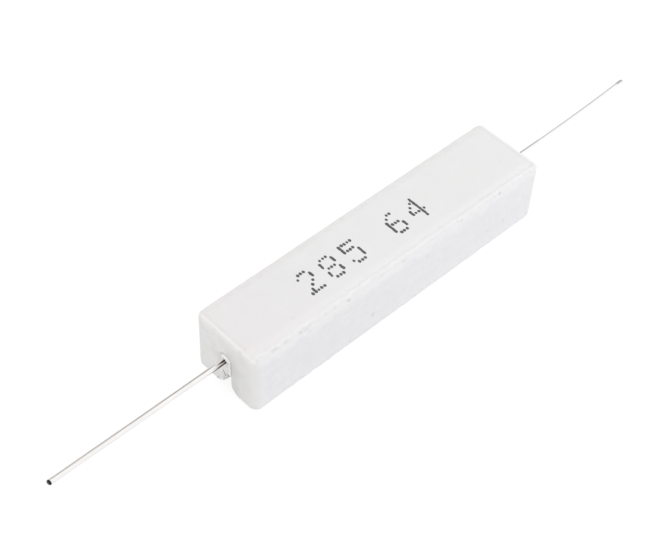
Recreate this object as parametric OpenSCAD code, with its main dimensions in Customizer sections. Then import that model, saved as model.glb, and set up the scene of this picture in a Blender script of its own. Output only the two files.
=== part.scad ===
// Wire-wound power resistor in a ceramic trough, with a lead at each end.
// The trough is open underneath and stands on its rim. A wound ceramic rod with pressed caps
// lies inside it, set in cement, and its two leads leave through a slot in each end wall.
// X runs along the leads, Z is up, and the origin is in the middle of the rim's plane.

/* [Ceramic case] */
// Length of the case along the leads
case_l = 48; // [44:0.5:60]
// Width of the case
case_w = 10.5; // [9:0.1:14]
// Height of the case from its open rim to its closed top
case_h = 9.15; // [8.4:0.05:13]
// Thickness of the long side walls
side_t = 1.3; // [0.8:0.05:1.8]
// Thickness of the end walls
end_t = 1.5; // [1:0.05:2.5]
// Thickness of the closed top
top_t = 1.2; // [0.8:0.05:1.6]
// Radius of the four upright corners
corner_r = 1.05; // [0.8:0.05:1.5]
// Radius of the edges round the top
top_edge_r = 0.5; // [0.3:0.05:0.7]
// Radius of the edges round the rim and along the slots
rim_edge_r = 0.45; // [0.2:0.05:0.6]
// Width of the flat land that pressing leaves inside the top edges
land_w = 0.35; // [0.1:0.05:0.8]
// Width of the slope from that land up to the top panel
slope_w = 0.6; // [0.2:0.05:1]
// Height of the top panel above the land
panel_rise = 0.07; // [0.02:0.01:0.2]
// Radius of the upright corners inside the case
cavity_r = 0.8; // [0.7:0.05:1.2]
// Radius where the inner walls meet the closed top
cavity_top_r = 0.6; // [0.3:0.05:0.7]

/* [Slots] */
// Width of the slot that each lead leaves through
slot_w = 1.65; // [1.4:0.05:2.4]
// Radius of the rounded mouth of each slot
mouth_r = 1.4; // [0.9:0.05:1.7]

/* [Cement] */
// Depth of the cement's face below the rim
cement_sink = 0.8; // [0.2:0.05:1.5]
// Depth of the cement's face inside each end
slot_sink = 0.1; // [0.05:0.01:0.4]
// Height above the rim down to which the cement fills the whole width of a slot
span_h = 2.9; // [2.6:0.05:3.4]
// Radius of the hanging edge of the cement in each slot
drip_r = 2; // [1.7:0.05:2.1]
// Distance of that edge's centre to one side of the slot
drip_side = 1.9; // [1.6:0.05:2.2]
// Height of that edge's centre above the rim
drip_h = 2.15; // [2.15:0.05:2.6]
// Radius that rounds the hanging edge off
drip_edge_r = 0.2; // [0.1:0.05:0.4]

/* [Wound rod] */
// Diameter of the ceramic core rod
core_d = 3.8; // [3:0.1:4.4]
// Diameter of the resistance wire
wire_d = 0.3; // [0.2:0.02:0.4]
// Distance from one turn of wire to the next
wire_pitch = 1.1; // [0.9:0.05:2]
// Turns of wire that lie on each cap, where the wire is welded
weld_turns = 0.8; // [0.5:0.1:1.5]
// Thickness of cement between the wound rod and the closed top
top_cover = 0.23; // [0.1:0.01:0.5]
// Thickness of cement between each cap and the end wall
end_cover = 3.4; // [2:0.1:5]

/* [Caps and leads] */
// Sheet thickness of the pressed caps
cap_t = 0.25; // [0.15:0.05:0.4]
// Length of rod that each cap covers
cap_depth = 4.2; // [3:0.1:6]
// Outer radius of the bend in each cap
cap_bend_r = 0.5; // [0.45:0.05:0.7]
// Diameter of the leads
lead_d = 0.75; // [0.6:0.05:1]
// Length of the left lead beyond the case
lead_left_l = 24.8; // [10:0.1:40]
// Length of the right lead beyond the case
lead_right_l = 23.5; // [10:0.1:40]
// Diameter of the head that is welded to the cap
head_d = 1.7; // [1.3:0.1:2.2]
// Thickness of that head
head_t = 0.4; // [0.2:0.05:0.7]
// Radius that heading the wire adds to the lead next to its head
lead_upset = 0.1; // [0.05:0.01:0.2]
// Chamfer at the cut tip of each lead
tip_chamfer = 0.08; // [0.02:0.01:0.15]

/* [Clearances] */
// Gap between pieces that fit round one another
fit = 0.02; // [0.01:0.01:0.04]

/* [Hidden] */

$fn = 64;
// Sides of the wire's section, and straight steps in one of its turns
wire_sides = 8;
turn_steps = 20;
// How far a cutting shape runs past what it cuts
past = 1;

core_r = core_d / 2;
wire_r = wire_d / 2;
lead_r = lead_d / 2;
head_r = head_d / 2;
slot_r = slot_w / 2;

// The straight steps of a turn run this much inside its true circle
turn_sag = (core_r + cap_t + wire_d) * (1 - cos(180 / turn_steps));
wire_gap = fit + turn_sag;
cap_r = core_r + fit + cap_t;
coil_r = core_r + wire_gap + wire_r;
weld_r = cap_r + wire_gap + wire_r;
wound_r = weld_r + wire_r;

cavity_l = case_l - 2 * end_t;
cavity_w = case_w - 2 * side_t;
cavity_h = case_h - top_t;
axis_h = cavity_h - top_cover - wound_r;

// Stations along the lead axis, measured from the middle of the case
cap_face = cavity_l / 2 - end_cover;
core_half = cap_face - cap_t;
cap_rim = core_half - cap_depth;
head_face = cap_face + head_t;
cement_face = case_l / 2 - slot_sink;
climb_end = cap_rim - wire_r - fit;
climb_start = climb_end - wire_pitch;
weld_end = cap_rim + weld_turns * wire_pitch;

// Puts what follows on the lead axis: its Z runs along the lead and its X points down
module on_lead_axis() {
    translate([0, 0, axis_h]) rotate([0, 90, 0]) children();
}

// The same, with Z = 0 on the outer face of the right end wall
module on_end_face() {
    on_lead_axis() translate([0, 0, case_l / 2]) children();
}

module at_both_ends() {
    children();
    mirror([1, 0, 0]) children();
}

// Outline of a bar that stands on its foot, with rounded edges above and below
module bar_outline(width, height, top_r, foot_r) {
    translate([-width / 2, foot_r]) square([width, height - foot_r - top_r]);
    translate([foot_r - width / 2, 0]) square([width - 2 * foot_r, height / 2]);
    translate([top_r - width / 2, height / 2]) square([width - 2 * top_r, height / 2]);
    for (side = [-1, 1]) {
        translate([side * (width / 2 - foot_r), foot_r]) circle(foot_r);
        translate([side * (width / 2 - top_r), height - top_r]) circle(top_r);
    }
}

// Block with upright corners of one radius and rounded edges above and below
module rounded_block(length, width, height, corner, top_r, foot_r) {
    rotate([90, 0, 90])
        linear_extrude(length - 2 * corner, center = true)
            bar_outline(width, height, top_r, foot_r);
    rotate([90, 0, 0])
        linear_extrude(width - 2 * corner, center = true)
            bar_outline(length, height, top_r, foot_r);
    for (x = [-1, 1], y = [-1, 1])
        translate([x * (length / 2 - corner), y * (width / 2 - corner), 0])
            rotate_extrude()
                intersection() {
                    bar_outline(2 * corner, height, top_r, foot_r);
                    square([corner, height]);
                }
}

// Section of the raised top panel, with its slopes down to the land
module panel_outline(width) {
    land_z = case_h - panel_rise;
    foot = width / 2 - top_edge_r - land_w;
    head = foot - slope_w;
    polygon([[-foot, cavity_h], [foot, cavity_h], [foot, land_z],
             [head, case_h], [-head, case_h], [-foot, land_z]]);
}

module top_panel() {
    intersection() {
        rotate([90, 0, 90]) linear_extrude(case_l, center = true) panel_outline(case_w);
        rotate([90, 0, 0]) linear_extrude(case_w, center = true) panel_outline(case_l);
    }
}

// Everything inside the walls, from a level above the rim up to the closed top
module cavity(level) {
    intersection() {
        translate([0, 0, -2 * past])
            rounded_block(cavity_l, cavity_w, cavity_h + 2 * past, cavity_r, cavity_top_r, past / 2);
        translate([-case_l / 2, -case_w / 2, level]) cube([case_l, case_w, case_h]);
    }
}

// Half section of the slot with its rounded outer edge, measured from the slot's middle
module slot_edge_outline() {
    difference() {
        translate([0, -rim_edge_r]) square([slot_r + rim_edge_r, rim_edge_r + past]);
        translate([slot_r + rim_edge_r, -rim_edge_r]) circle(rim_edge_r);
    }
}

// Foot of the end wall beside the slot's mouth, rounded below and at the outer face
module mouth_foot() {
    rotate_extrude()
        intersection() {
            translate([0, -end_t - 2 * past])
                bar_outline(2 * mouth_r, end_t + 2 * past, rim_edge_r, past / 2);
            translate([0, -end_t - 2 * past]) square([mouth_r, end_t + 2 * past]);
        }
}

// What a slot cuts out of the end wall
module slot_cut() {
    translate([0, 0, -end_t - past])
        linear_extrude(end_t + 2 * past) {
            circle(slot_r);
            translate([0, -slot_r]) square([axis_h + past, slot_w]);
        }
    rotate_extrude() slot_edge_outline();
    rotate([90, 0, 90])
        linear_extrude(axis_h - mouth_r) {
            slot_edge_outline();
            mirror([1, 0]) slot_edge_outline();
        }
    for (side = [-1, 1])
        difference() {
            translate([axis_h - mouth_r, min(0, side * (slot_r + mouth_r)), -end_t - past])
                cube([mouth_r + past, slot_r + mouth_r, end_t + 2 * past]);
            translate([axis_h - mouth_r, side * (slot_r + mouth_r), 0]) mouth_foot();
        }
}

module ceramic_case() {
    color("whitesmoke")
        difference() {
            union() {
                rounded_block(case_l, case_w, case_h - panel_rise, corner_r, top_edge_r, rim_edge_r);
                top_panel();
            }
            cavity(-past);
            at_both_ends() on_end_face() slot_cut();
        }
}

// Round that bounds the cement in the slot from below, with its outer edge rounded off
module drip_round() {
    rotate_extrude()
        intersection() {
            translate([0, -end_t - past])
                bar_outline(2 * drip_r, end_t + past, drip_edge_r, past / 2);
            translate([0, -end_t - past]) square([drip_r, end_t + past]);
        }
}

// Cement that fills a slot up to its rounded outer edge and hangs to one side below the lead
module slot_fill() {
    intersection() {
        slot_cut();
        translate([-slot_w, -case_w / 2, -end_t - slot_sink])
            cube([slot_w + axis_h, case_w, end_t]);
        union() {
            translate([-slot_w, -case_w / 2, -end_t - past])
                cube([slot_w + axis_h - span_h, case_w, end_t + past]);
            translate([axis_h - drip_h, drip_side, -slot_sink]) drip_round();
        }
    }
}

// Half section of the room that half of the wound rod, its cap and its lead take in the cement
module element_outline() {
    climb_side = climb_start - wire_r - fit;
    weld_side = weld_end + wire_r + fit;
    polygon([[0, 0], [coil_r + wire_r + fit, 0], [coil_r + wire_r + fit, climb_side],
             [wound_r + fit, climb_side], [wound_r + fit, weld_side],
             [cap_r + fit, weld_side], [cap_r + fit, cap_face + fit],
             [head_r + fit, cap_face + fit], [head_r + fit, head_face + fit],
             [lead_r + lead_upset + fit, head_face + fit], [lead_r + fit, cement_face],
             [lead_r + fit, case_l], [0, case_l]]);
}

module cement_fill() {
    color("gainsboro")
        difference() {
            union() {
                cavity(cement_sink);
                at_both_ends() on_end_face() slot_fill();
            }
            on_lead_axis()
                rotate_extrude() {
                    element_outline();
                    mirror([0, 1]) element_outline();
                }
        }
}

module core_rod() {
    chamfer = cap_bend_r - cap_t;
    color("linen")
        on_lead_axis()
            rotate_extrude()
                polygon([[0, -core_half], [core_r - chamfer, -core_half],
                         [core_r, chamfer - core_half], [core_r, core_half - chamfer],
                         [core_r - chamfer, core_half], [0, core_half]]);
}

// Share of the climb from the rod up to the cap that is done at a station
function climb(x) = let (t = (x - climb_start) / (climb_end - climb_start))
    t <= 0 ? 0 : t >= 1 ? 1 : t * t * (3 - 2 * t);

// Corners of the wire's section at one angle along the coil
function wire_ring(angle) =
    let (x = wire_pitch * angle / 360,
         r = coil_r + (weld_r - coil_r) * climb(abs(x)),
         lift = wire_pitch / (2 * PI),
         out = [cos(angle), sin(angle), 0],
         along = [lift * sin(angle), -lift * cos(angle), r] / sqrt(lift * lift + r * r))
    [for (i = [0 : wire_sides - 1])
        let (a = 360 * i / wire_sides)
        r * out + [0, 0, x] + wire_r * (cos(a) * out + sin(a) * along)];

module resistance_wire() {
    steps = ceil(2 * weld_end / wire_pitch * turn_steps);
    end_angle = 360 * weld_end / wire_pitch;
    points = [for (k = [0 : steps]) each wire_ring(end_angle * (2 * k / steps - 1))];
    sides = [for (k = [0 : steps - 1], i = [0 : wire_sides - 1])
        let (j = (i + 1) % wire_sides, a = k * wire_sides, b = a + wire_sides)
        each [[a + i, a + j, b + j], [a + i, b + j, b + i]]];
    first = [for (i = [wire_sides - 1 : -1 : 0]) i];
    last = [for (i = [0 : wire_sides - 1]) steps * wire_sides + i];
    color("dimgray")
        on_lead_axis() polyhedron(points, concat(sides, [first, last]));
}

// Drawn cup that closes one end of the rod
module end_cap() {
    color("silver")
        on_lead_axis()
            difference() {
                rotate_extrude()
                    intersection() {
                        translate([0, cap_rim - 2 * cap_bend_r])
                            bar_outline(2 * cap_r, cap_face - cap_rim + 2 * cap_bend_r,
                                        cap_bend_r, cap_bend_r);
                        translate([0, cap_rim]) square([cap_r, cap_face]);
                    }
                rotate_extrude()
                    intersection() {
                        translate([0, cap_rim - 2 * cap_bend_r])
                            bar_outline(2 * (cap_r - cap_t), cap_face - cap_t - cap_rim + 2 * cap_bend_r,
                                        cap_bend_r - cap_t, cap_bend_r - cap_t);
                        translate([0, cap_rim - cap_bend_r]) square([cap_r, cap_face]);
                    }
            }
}

// Lead with its welded head, cut off at a length beyond the case
module lead(reach) {
    tip = case_l / 2 + reach;
    color("lightgray")
        on_lead_axis()
            rotate_extrude()
                polygon([[0, cap_face], [head_r, cap_face], [head_r, head_face],
                         [lead_r + lead_upset, head_face], [lead_r, cement_face],
                         [lead_r, tip - tip_chamfer], [lead_r - tip_chamfer, tip], [0, tip]]);
}

module end_cap_right() { end_cap(); }
module end_cap_left() { mirror([1, 0, 0]) end_cap(); }
module lead_right() { lead(lead_right_l); }
module lead_left() { mirror([1, 0, 0]) lead(lead_left_l); }

ceramic_case();
cement_fill();
core_rod();
resistance_wire();
end_cap_left();
end_cap_right();
lead_left();
lead_right();
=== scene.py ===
"""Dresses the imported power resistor: moulded case, cement, tinned leads and printed digits."""

import math
import random

import bmesh
import bpy
from bpy.props import FloatProperty, FloatVectorProperty, IntProperty, PointerProperty, StringProperty
from mathutils import Euler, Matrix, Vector, noise
from mathutils.bvhtree import BVHTree


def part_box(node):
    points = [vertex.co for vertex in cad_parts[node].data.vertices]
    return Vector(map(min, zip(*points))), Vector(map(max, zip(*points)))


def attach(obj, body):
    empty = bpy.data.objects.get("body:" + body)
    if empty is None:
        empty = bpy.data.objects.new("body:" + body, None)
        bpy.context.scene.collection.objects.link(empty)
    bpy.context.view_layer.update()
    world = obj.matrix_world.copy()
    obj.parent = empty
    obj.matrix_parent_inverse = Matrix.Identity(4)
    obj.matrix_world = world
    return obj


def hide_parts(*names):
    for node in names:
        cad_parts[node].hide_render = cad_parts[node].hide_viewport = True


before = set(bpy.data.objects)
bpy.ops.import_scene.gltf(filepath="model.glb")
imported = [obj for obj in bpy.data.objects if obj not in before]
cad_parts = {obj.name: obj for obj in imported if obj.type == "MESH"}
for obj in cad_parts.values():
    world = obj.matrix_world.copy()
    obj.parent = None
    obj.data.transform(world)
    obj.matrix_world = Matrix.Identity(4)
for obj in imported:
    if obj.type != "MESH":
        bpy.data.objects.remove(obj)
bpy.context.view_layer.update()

bl_info = {
    "name": "Cement Resistor Dresser",
    "version": (1, 0, 0),
    "blender": (4, 5, 0),
    "location": "3D View > Sidebar > Resistor",
    "description": "Finishes the case, cement, leads and print of a wire-wound power resistor",
    "category": "Object",
}

MM = 0.001
WHITE = (1.0, 1.0, 1.0, 1.0)

# The case and the right lead in millimetres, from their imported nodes
HALF_L, HALF_W, CASE_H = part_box("ceramic_case")[1] / MM
RIGHT_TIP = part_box("lead_right")[1].x / MM

# Sizes that the CAD source gives the hidden side of the case, in millimetres
SIDE_WALL = 1.3
END_WALL = 1.5
ROOF_UNDERSIDE = 7.95
CEMENT_FACE = 0.8
LEAD_AXIS = 5.2
LEAD_R = 0.375
SLOT_R = 0.825
SLOT_EDGE_R = 0.45
SLOT_SINK = 0.1
INSIDE_L = HALF_L - END_WALL
INSIDE_W = HALF_W - SIDE_WALL
CEMENT_END = HALF_L - SLOT_SINK

# The photo's camera, in millimetres and degrees, and the direction across the leads in its view
CAMERA_PLACE = (-89.9877, -81.4982, 143.8353)
CAMERA_TURN = (40.2624, -2.0099, -43.1594)
ACROSS_Y, ACROSS_Z = 0.86, 0.51

# Spots on the top: place, radius, kind of colour and strength
TOP_SPOTS = (
    (-23.12, -2.51, 0.3, "rust", 0.24),
    (-16.07, -2.87, 0.28, "stain", 0.16),
    (-17.15, -1.23, 0.34, "rust", 0.05),
    (20.56, -1.49, 0.26, "stain", 0.16),
    (0.98, -2.04, 0.26, "stain", 0.1),
    (2.13, 4.59, 0.28, "stain", 0.12),
)
# Pits worn in the long front edge: place along it and in from the front, length, radius and dirt
EDGE_PITS = (
    (-20.66, 0.4, 0.6, 0.26, 0.15),
    (-19.0, 0.36, 0.25, 0.24, 0.13),
    (-16.78, 0.26, 0.1, 0.26, 0.22),
    (-16.1, 0.32, 0.25, 0.2, 0.12),
    (-15.4, 0.35, 0.4, 0.2, 0.06),
    (-12.8, 0.38, 0.2, 0.17, 0.08),
    (-11.3, 0.36, 0.2, 0.16, 0.09),
    (-9.3, 0.1, 0.1, 0.2, 0.26),
    (-3.9, 0.37, 0.1, 0.18, 0.12),
    (-0.3, 0.14, 0.3, 0.19, 0.1),
    (9.2, 0.3, 0.2, 0.16, 0.06),
    (16.55, 0.08, 0.2, 0.2, 0.22),
)
# Dark specks on the long front side: place, radius and dirt
SIDE_SPECKS = (
    (-5.1, 2.9, 0.36, 0.2),
    (17.92, 2.97, 0.34, 0.16),
    (3.77, 6.9, 0.24, 0.12),
    (-12.25, 3.0, 0.15, 0.12),
    (-8.85, 0.87, 0.18, 0.16),
    (-10.1, 0.5, 0.15, 0.14),
    (10.4, 1.3, 0.14, 0.14),
    (15.0, 3.14, 0.2, 0.08),
    (22.7, 1.0, 0.2, 0.16),
)
# Pores of the cement in the slots: end, place across and up, radius, depth and dirt
SLOT_PORES = (
    (-1, 0.55, 2.4, 0.1, 0.08, 0.3),
    (-1, -0.45, 3.35, 0.09, 0.08, 0.25),
    (-1, 0.3, 3.6, 0.1, 0.08, 0.2),
    (1, -0.5, 3.4, 0.13, 0.09, 0.6),
    (1, 0.35, 2.1, 0.1, 0.09, 0.4),
    (1, 0.6, 3.9, 0.11, 0.09, 0.3),
)


class Wire:
    """An output socket that takes part in sums, so that a finish reads as an expression."""

    def __init__(self, nodes, socket):
        self.nodes = nodes
        self.socket = socket

    def _math(self, operation, *operands, clamp=False):
        settings = {"operation": operation, "use_clamp": clamp}
        return self.nodes.node("Math", settings, dict(enumerate(operands)))

    def __add__(self, other):
        return self._math("ADD", self, other)

    __radd__ = __add__

    def __sub__(self, other):
        return self._math("SUBTRACT", self, other)

    def __rsub__(self, other):
        return self._math("SUBTRACT", other, self)

    def __mul__(self, other):
        return self._math("MULTIPLY", self, other)

    __rmul__ = __mul__

    def __abs__(self):
        return self._math("ABSOLUTE", self)

    def most(self, other):
        return self._math("MAXIMUM", self, other)

    def clamped(self):
        return self._math("ADD", self, 0.0, clamp=True)

    def beside(self, name):
        """Another output of the same node."""
        return Wire(self.nodes, self.socket.node.outputs[name])

    def ramp(self, start, end):
        """Smooth step from 0 at start to 1 at end, which may lie below start."""
        low, high = min(start, end), max(start, end)
        rising = self.nodes.node(
            "MapRange",
            {"interpolation_type": "SMOOTHSTEP"},
            {"Value": self, "From Min": low, "From Max": high},
        )
        return rising if start < end else 1.0 - rising

    def bump_at(self, centre, reach):
        """1 at centre, falling to 0 a reach away on both sides."""
        return abs(self - centre).ramp(reach, 0.0)


class Nodes:
    """A node tree that is built from expressions."""

    def __init__(self, tree):
        self.tree = tree
        tree.nodes.clear()

    def node(self, kind, settings=None, values=None, output=0):
        """Adds a node, sets it up, fills or links its inputs and gives one of its outputs."""
        made = self.tree.nodes.new("ShaderNode" + kind)
        for key, value in (settings or {}).items():
            setattr(made, key, value)
        for key, value in (values or {}).items():
            if isinstance(value, Wire):
                self.tree.links.new(value.socket, made.inputs[key])
            else:
                made.inputs[key].default_value = value
        return Wire(self, made.outputs[output]) if made.outputs else None


class Finish(Nodes):
    """The nodes of one material, all on the object's own coordinates in millimetres."""

    def __init__(self, name):
        self.material = bpy.data.materials.new(name)
        self.material.use_nodes = True
        super().__init__(self.material.node_tree)
        self.place = self.times(self.node("TexCoord", output="Object"), (1.0 / MM,) * 3)
        split = self.node("SeparateXYZ", values={0: self.place})
        self.x, self.y, self.z = (split.beside(axis) for axis in "XYZ")

    def times(self, first, second):
        """Multiplies two vectors or colours part by part."""
        return self.node("VectorMath", {"operation": "MULTIPLY"}, {0: first, 1: second})

    def distance(self, first, second):
        values = {0: first, 1: second}
        return self.node("VectorMath", {"operation": "DISTANCE"}, values, "Value")

    def off_axis(self, y, z):
        """Distance from a line along X, for places that lie y and z from it."""
        across = self.node("CombineXYZ", values={"Y": y, "Z": z})
        return self.distance(across, (0.0, 0.0, 0.0))

    def stretched(self, along_x, along_y, along_z):
        """The object's coordinates with each axis scaled on its own."""
        return self.times(self.place, (along_x, along_y, along_z))

    def cloud(self, scale, detail=2.0, roughness=0.5, where=None):
        """Soft noise from 0 to 1 with scale cells a millimetre."""
        values = {
            "Vector": where or self.place,
            "Scale": scale,
            "Detail": detail,
            "Roughness": roughness,
        }
        return self.node("TexNoise", values=values)

    def cells(self, scale, output="Distance"):
        """Scattered points: the distance to the nearest, or that point's own colour."""
        values = {"Vector": self.place, "Scale": scale}
        return self.node("TexVoronoi", values=values, output=output)

    def blend(self, factor, first, second):
        """Mixes two colours, each a link or a plain colour."""
        # A Mix node keeps the inputs and outputs of every data type, told apart by number
        factor_in, first_in, second_in, colour_out = 0, 6, 7, 2
        first, second = (c if isinstance(c, Wire) else (*c, 1.0) for c in (first, second))
        values = {factor_in: factor, first_in: first, second_in: second}
        return self.node("Mix", {"data_type": "RGBA"}, values, colour_out)

    def cast(self, colour, mask, tint):
        """Tints a colour where the mask is 1."""
        return self.times(colour, self.blend(mask, WHITE[:3], tint))

    def spot(self, centre, radius):
        """1 at centre, fading out at a radius that may vary."""
        return (radius - self.distance(self.place, centre)).ramp(-0.1, 0.25)

    def pits(self):
        """How dark the pits are made towards their bottoms, from the mesh; in the cement it is painted
        shade.
        """
        return self.node("Attribute", {"attribute_name": "darkening"}, output="Fac")

    def end(self, shader):
        self.node("OutputMaterial", values={"Surface": shader})
        return self.material

    def surface(self, colour, roughness, height, **uniform):
        """Ends the finish in a Principled shader, with a relief whose height is in millimetres."""
        normal = self.node("Bump", values={"Height": height, "Distance": MM}, output="Normal")
        values = {"Base Color": colour, "Roughness": roughness, "Normal": normal, **uniform}
        return self.end(self.node("BsdfPrincipled", values=values))


def colour_value(name, description, default):
    return FloatVectorProperty(
        name=name, description=description, default=default, subtype="COLOR", min=0.0, max=1.0,
    )


def number_value(name, description, default, least=0.0, **more):
    return FloatProperty(name=name, description=description, default=default, min=least, **more)


def length_value(name, description, millimetres, least=0.0):
    return number_value(name, description, millimetres * MM, least * MM, unit="LENGTH")


class CaseSettings(bpy.types.PropertyGroup):
    clay: colour_value("Clay", "Colour of the fired ceramic", (0.86, 0.86, 0.86))
    # Colour of rubbed edges, also used for the painted highlight on them
    wear_and_highlight: colour_value("Worn", "Colour where the edges are rubbed", (0.93, 0.93, 0.93))
    stain: colour_value("Stain", "Colour of handling stains and old spots", (0.61, 0.585, 0.48))
    rust: colour_value("Rust", "Colour of the warmer spots", (0.84, 0.66, 0.5))
    # Also the colour of the painted shade beside the slots and in the groove by the front edge
    grime_and_shade: colour_value("Grime", "Colour of the dust beside the slots and at the foot", (0.5, 0.49, 0.47))
    # The pits are made darker towards this colour at their bottoms
    darkening: colour_value("Dirt", "Colour at the bottom of pits", (0.3, 0.295, 0.28))
    mesh_step: length_value("Mesh step", "Spacing of the cuts along the case", 0.25, 0.1)
    face_wave: length_value("Face unevenness", "Depth of the slow waves in the pressed faces", 0.03)
    edge_wear: length_value("Edge wear", "How far the edges are rubbed back", 0.09)
    slot_fall: length_value("Fall to the slots", "How far the ends fall away towards their slots", 0.05)
    chips: IntProperty(name="Chips", description="Small chips along the edges", default=34, min=0)


class CementSettings(bpy.types.PropertyGroup):
    cement: colour_value("Cement", "Colour of the dried cement", (0.89, 0.885, 0.875))
    # Also the colour of the painted shade over each lead in the slots
    grit_and_shade: colour_value("Grit", "Colour of the darker grains", (0.42, 0.4, 0.38))
    lumps: length_value("Lumps", "Height of the lumps on the open underside", 0.16)
    collar: length_value("Collar", "How far the cement climbs each lead", 0.2)
    flank_fall: length_value("Flank fall", "How far the cement falls back at the sides of a slot", 0.07)
    pores: IntProperty(name="Pores", description="Air holes in the open underside", default=90, min=0)


class LeadSettings(bpy.types.PropertyGroup):
    tin: colour_value("Tin", "Colour of the tinned wire", (0.985, 0.98, 0.97))
    # Also the colour of the painted reflection in the streak at the base
    scorch_and_reflection: colour_value("Scorched tin", "Tin between the tongues of residue", (0.5, 0.45, 0.4))
    # Also the colour of the painted dark reflection at the base
    residue_and_reflection: colour_value(
        "Residue", "Burnt residue where a lead leaves the cement", (0.055, 0.035, 0.028)
    )
    cut_steel: colour_value("Cut steel", "Colour of the cut ends", (0.012, 0.01, 0.009))
    shear: length_value("Shear", "How far the cut at a tip slants", 0.34)
    sides: IntProperty(name="Sides", description="Sides round a lead", default=40, min=12)
    waver: length_value("Waver", "How far drawing and tinning leave the wire out of round", 0.011)


class PrintSettings(bpy.types.PropertyGroup):
    digits: StringProperty(
        name="Digits", description="Plain digits printed on the top", default="285 64",
    )
    ink: colour_value("Ink", "Colour of the ink", (0.095, 0.095, 0.105))
    height: length_value("Height", "From the lowest drop of a digit to its highest", 3.2, 1.0)
    width: length_value("Width", "From the first drop of a digit to its last", 1.85, 0.5)
    pitch: length_value("Pitch", "From one digit to the next", 3.53, 1.0)
    start: FloatVectorProperty(
        name="Start", description="Lowest left drop of the first digit, on the top",
        subtype="XYZ", unit="LENGTH", size=2, default=(-11.88 * MM, -1.73 * MM),
    )
    drop: length_value("Drop", "Width of one drop of ink", 0.4, 0.1)
    stretch: number_value("Stretch", "How much taller than wide the drops dry", 1.2, 0.5)


class StageSettings(bpy.types.PropertyGroup):
    floor_size: length_value("Floor", "Side of the floor", 4000.0, 100.0)
    sky: number_value("Sky", "Strength of the even light from all round", 0.93)
    floor_shade: number_value("Floor shade", "How much light the floor throws back", 0.88, max=1.0)
    top_lamp: number_value("Top lamp", "Power of the wide lamp overhead", 0.04, unit="POWER")
    side_lamp: number_value(
        "Side lamp", "Power of the lamp at the far half of the long side", 0.036, unit="POWER"
    )
    card_low: colour_value("Card", "Colour low on the card that the leads mirror", (0.36, 0.32, 0.29))
    lens: number_value(
        "Lens", "Focal length of the camera", 81.257, 1.0, subtype="DISTANCE_CAMERA"
    )


def settings(name):
    return getattr(bpy.context.scene, "resistor_" + name)


def node_copy(name):
    """A bmesh of a CAD node, with its loose triangles joined and its flat faces made whole."""
    bm = bmesh.new()
    bm.from_mesh(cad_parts[name].data)
    bmesh.ops.scale(bm, vec=(1.0 / MM,) * 3, verts=bm.verts)
    bmesh.ops.remove_doubles(bm, verts=bm.verts, dist=0.0005)
    bmesh.ops.dissolve_limit(
        bm, angle_limit=math.radians(0.3), verts=bm.verts, edges=bm.edges
    )
    return bm


def stations(low, high, step):
    """Places from low to high, a step apart or a little less."""
    count = max(1, math.ceil((high - low) / step))
    return [low + (high - low) * i / count for i in range(count + 1)]


def cut_across(bm, axis, places, wanted):
    """Cuts the wanted faces by planes across an axis, so that there is mesh to shape."""
    normal = Vector((axis == 0, axis == 1, axis == 2))
    for place in places:
        faces = [f for f in bm.faces if wanted(f.calc_center_median())]
        edges = {e for f in faces for e in f.edges}
        verts = {v for f in faces for v in f.verts}
        bmesh.ops.bisect_plane(
            bm, geom=[*verts, *edges, *faces], dist=0.0002, plane_co=normal * place,
            plane_no=normal,
        )


def along_segment(point, start, end):
    """Distance from a point to a straight segment."""
    run = end - start
    length = run.length_squared
    share = 0.0 if length == 0.0 else max(0.0, min(1.0, (point - start).dot(run) / length))
    return (point - start - run * share).length


def refine(bm, patch, longest):
    """Halves the longer edges of a patch twice, so that it can take a finer shape."""
    for _ in range(2):
        near = patch()
        edges = {e for v in near for e in v.link_edges if e.other_vert(v) in near}
        coarse = [e for e in edges if e.calc_length() > longest]
        if coarse:
            bmesh.ops.subdivide_edges(bm, edges=coarse, cuts=1, use_grid_fill=True)


def press_pit(bm, layer, start, end, inward, radius, depth, darkening):
    """Presses a pit, or a groove from start to end, into a finer patch of the mesh."""
    reach = radius * 1.5
    low, high = min(start.x, end.x) - reach, max(start.x, end.x) + reach

    def patch():
        found = (v for v in bm.verts if low < v.co.x < high)
        return {v for v in found if along_segment(v.co, start, end) < reach}

    refine(bm, patch, radius * 0.3)
    for v in patch():
        rag = 1.0 + 0.3 * noise.noise(v.co * (1.1 / radius))
        share = along_segment(v.co, start, end) / (radius * rag)
        if share < 1.0:
            bowl = (1.0 - share * share) ** 1.5
            v.co += inward * (depth * bowl)
            v[layer] = max(v[layer], darkening * min(1.0, 1.6 * bowl))


def placed(name, bm, materials):
    """An object of the scene made of a bmesh, with its materials."""
    mesh = bpy.data.meshes.new(name)
    bm.to_mesh(mesh)
    bm.free()
    for material in materials:
        mesh.materials.append(material)
    made = bpy.data.objects.new(name, mesh)
    bpy.context.scene.collection.objects.link(made)
    return made


def finished(name, bm, materials, node, sharp=42.0):
    """Makes a piece of a bmesh in millimetres that may stand for a CAD node."""
    bmesh.ops.scale(bm, vec=(MM,) * 3, verts=bm.verts)
    bm.normal_update()
    for face in bm.faces:
        face.smooth = True
    for edge in bm.edges:
        edge.smooth = edge.calc_face_angle(0.0) < math.radians(sharp)
    piece = placed(name, bm, materials)
    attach(piece, "root")
    if node:
        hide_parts(node)


def middle(first, second, third):
    """The middle one of three values."""
    return first + second + third - min(first, second, third) - max(first, second, third)


def slot_half(depth):
    """Half the width of a slot at a depth below the end face, at its rounded edge."""
    left = SLOT_EDGE_R - max(0.0, min(depth, SLOT_EDGE_R))
    return SLOT_R + SLOT_EDGE_R - math.sqrt(SLOT_EDGE_R**2 - left**2)


def tinted(colour, red, green, blue):
    return Vector((colour[0] * red, colour[1] * green, colour[2] * blue))


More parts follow.
